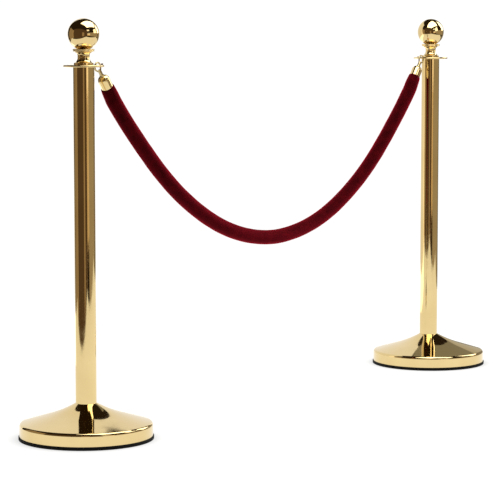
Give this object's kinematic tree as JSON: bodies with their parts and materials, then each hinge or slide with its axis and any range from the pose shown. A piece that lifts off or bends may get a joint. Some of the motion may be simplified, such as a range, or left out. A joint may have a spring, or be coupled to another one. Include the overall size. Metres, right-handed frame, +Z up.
{
  "type": "rope barrier stanchion set",
  "caption": "Pair of polished brass ball-top barrier posts on weighted round bases, joined by a hanging velvet rope on trigger snap hooks.",
  "frame": {"origin": "on the floor, midway between the two posts", "axes": "+X from the left post to the right post, +Z up, +Y away from the viewer"},
  "size_m": [1.834, 0.324, 1],
  "materials": {
    "polished_brass": "mirror polished, lacquered",
    "red_velvet": "dark red velvet pile",
    "core_cotton": "stuffed cotton cord",
    "black_rubber": "matt moulded rubber",
    "cast_iron": "rough casting, black paint",
    "steel": "zinc plated"
  },
  "bodies": {
    "root": {"left_floor_ring": "black_rubber", "left_base_weight": "cast_iron", "left_base_cover": "polished_brass", "left_base_washer": "steel", "left_base_nut": "steel", "left_tie_rod": "steel", "left_post_tube": "polished_brass", "left_bottom_plug": "steel", "left_top_plug": "steel", "left_ring_plate": "polished_brass", "left_finial_neck": "polished_brass", "left_finial_stud": "steel", "left_finial_ball": "polished_brass", "right_floor_ring": "black_rubber", "right_base_weight": "cast_iron", "right_base_cover": "polished_brass", "right_base_washer": "steel", "right_base_nut": "steel", "right_tie_rod": "steel", "right_post_tube": "polished_brass", "right_bottom_plug": "steel", "right_top_plug": "steel", "right_ring_plate": "polished_brass", "right_finial_neck": "polished_brass", "right_finial_stud": "steel", "right_finial_ball": "polished_brass"},
    "rope": {"velvet_cover": "red_velvet", "rope_core": "core_cotton", "left_end_cap": "polished_brass", "left_swivel_washer": "polished_brass", "right_end_cap": "polished_brass", "right_swivel_washer": "polished_brass"},
    "left_hook": {"left_hook_body": "polished_brass", "left_hook_rivet": "polished_brass", "left_trigger_spring": "steel"},
    "left_trigger": {"left_hook_trigger": "polished_brass"},
    "right_hook": {"right_hook_body": "polished_brass", "right_hook_rivet": "polished_brass", "right_trigger_spring": "steel"},
    "right_trigger": {"right_hook_trigger": "polished_brass"}
  },
  "joints": [
    {"name": "rope_swing", "type": "hinge", "parent": "root", "child": "rope", "pos_m": [0, 0, 0.891], "axis": [1, 0, 0], "range_deg": [-25, 25]},
    {"name": "left_swivel", "type": "hinge", "parent": "rope", "child": "left_hook", "pos_m": [-0.70498, 0, 0.88497], "axis": [-0.5735, 0, 0.8192], "range_deg": [-30, 30]},
    {"name": "left_trigger_press", "type": "hinge", "parent": "left_hook", "child": "left_trigger", "pos_m": [-0.69638, 0, 0.87268], "axis": [0, -1, 0], "range_deg": [0, 10], "stiffness_Nm_per_rad": 0.02, "springref_deg": -17.19},
    {"name": "right_swivel", "type": "hinge", "parent": "rope", "child": "right_hook", "pos_m": [0.70498, 0, 0.88497], "axis": [0.5735, 0, 0.8192], "range_deg": [-30, 30]},
    {"name": "right_trigger_press", "type": "hinge", "parent": "right_hook", "child": "right_trigger", "pos_m": [0.69638, 0, 0.87268], "axis": [0, 1, 0], "range_deg": [0, 10], "stiffness_Nm_per_rad": 0.02, "springref_deg": -17.19}
  ]
}
